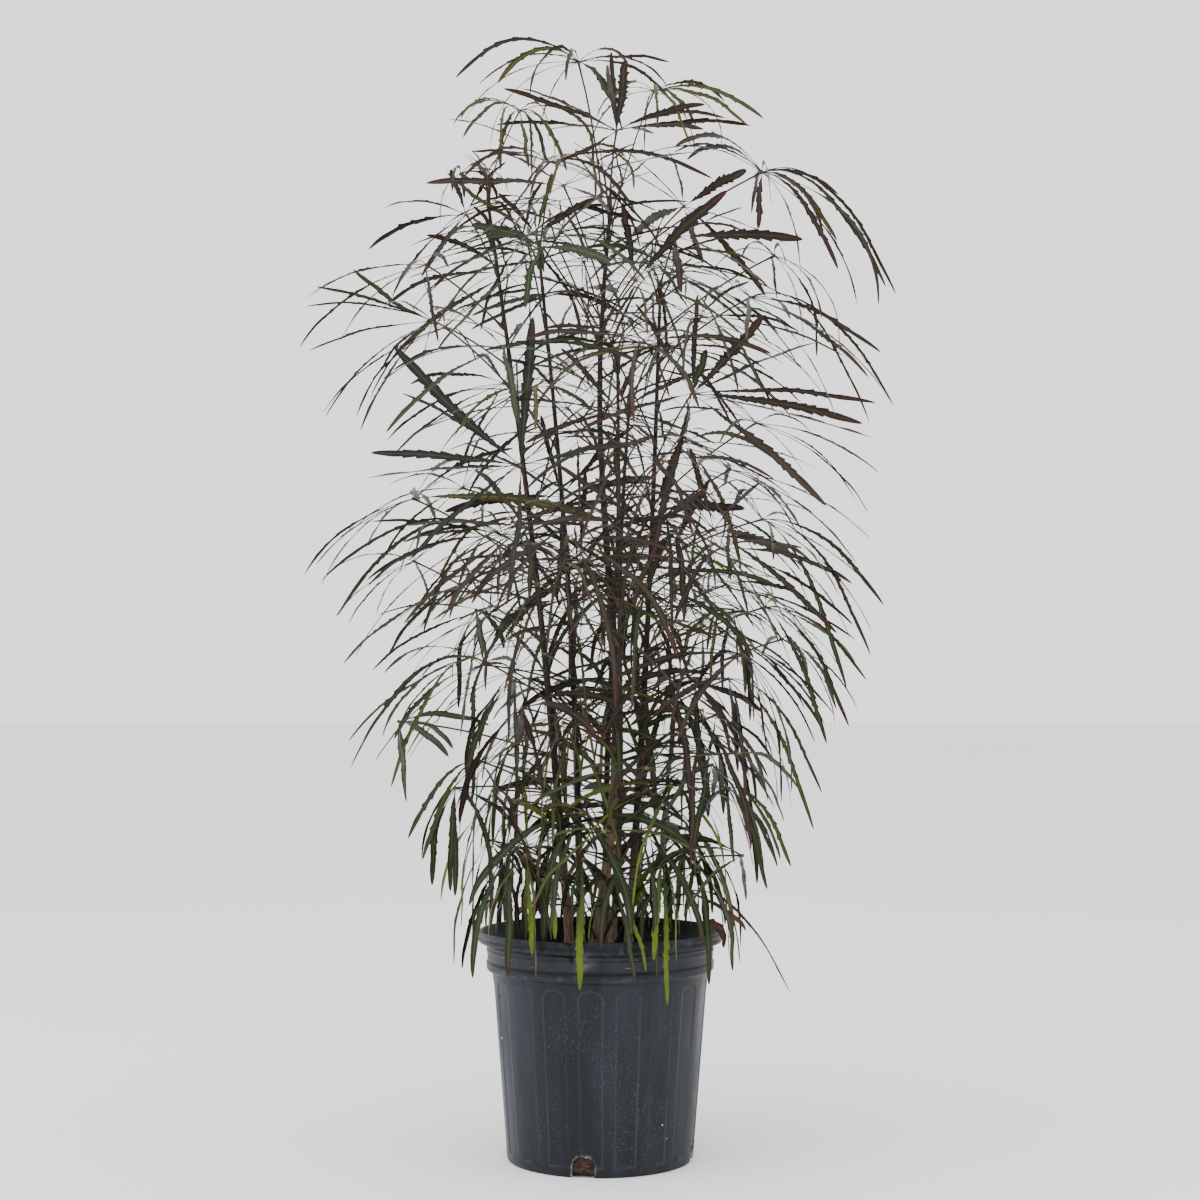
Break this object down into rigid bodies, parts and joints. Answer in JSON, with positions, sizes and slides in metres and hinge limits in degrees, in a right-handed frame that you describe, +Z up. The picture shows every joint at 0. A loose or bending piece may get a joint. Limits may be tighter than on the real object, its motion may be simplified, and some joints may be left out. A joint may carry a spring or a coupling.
{
  "type": "potted false aralia",
  "caption": "Bushy potted shrub: a clump of slim upright stems with long-stalked, finger-leaved dark foliage, in a tapered nursery pot with recessed panels.",
  "frame": {"origin": "centre of the pot's flat underside", "axes": "+Z up along the trunk, -Y towards the front, +X to the right as seen from the front"},
  "size_m": [0.6202, 0.6268, 1.2067],
  "materials": {
    "pot_plastic": "dusty, scuffed near-black moulded plastic",
    "potting_mix": "rough moist bark and peat with white grains",
    "bark": "rough brown bark low down, smooth and near black higher up",
    "foliage": "thin bronze-green leaflets with a soft sheen"
  },
  "bodies": {
    "root": {"back_stem": "bark", "back_stem_leaf_01": "foliage", "back_stem_leaf_02": "foliage", "back_stem_leaf_03": "foliage", "back_stem_leaf_04": "foliage", "back_stem_tuft": "foliage", "front_stem": "bark", "front_stem_leaf_01": "foliage", "front_stem_leaf_02": "foliage", "front_stem_leaf_03": "foliage", "front_stem_leaf_04": "foliage", "front_stem_leaf_05": "foliage", "front_stem_tuft": "foliage", "inner_stem": "bark", "inner_stem_leaf_01": "foliage", "inner_stem_leaf_02": "foliage", "inner_stem_leaf_03": "foliage", "inner_stem_leaf_04": "foliage", "inner_stem_tuft": "foliage", "left_stem": "bark", "left_stem_leaf_01": "foliage", "left_stem_leaf_02": "foliage", "left_stem_leaf_03": "foliage", "left_stem_leaf_04": "foliage", "left_stem_leaf_05": "foliage", "left_stem_leaf_06": "foliage", "left_stem_leaf_07": "foliage", "left_stem_leaf_08": "foliage", "left_stem_leaf_09": "foliage", "left_stem_leaf_10": "foliage", "left_stem_leaf_11": "foliage", "left_stem_tuft": "foliage", "pot": "pot_plastic", "potting_mix": "potting_mix", "right_stem": "bark", "right_stem_leaf_01": "foliage", "right_stem_leaf_02": "foliage", "right_stem_leaf_03": "foliage", "right_stem_leaf_04": "foliage", "right_stem_leaf_05": "foliage", "right_stem_leaf_06": "foliage", "right_stem_leaf_07": "foliage", "right_stem_leaf_08": "foliage", "right_stem_leaf_09": "foliage", "right_stem_tuft": "foliage", "trunk": "bark", "trunk_leaf_01": "foliage", "trunk_leaf_02": "foliage", "trunk_leaf_03": "foliage", "trunk_leaf_04": "foliage", "trunk_leaf_05": "foliage", "trunk_leaf_06": "foliage", "trunk_leaf_07": "foliage", "trunk_leaf_08": "foliage", "trunk_leaf_09": "foliage", "trunk_leaf_10": "foliage", "trunk_leaf_11": "foliage", "trunk_tuft": "foliage"}
  },
  "joints": []
}
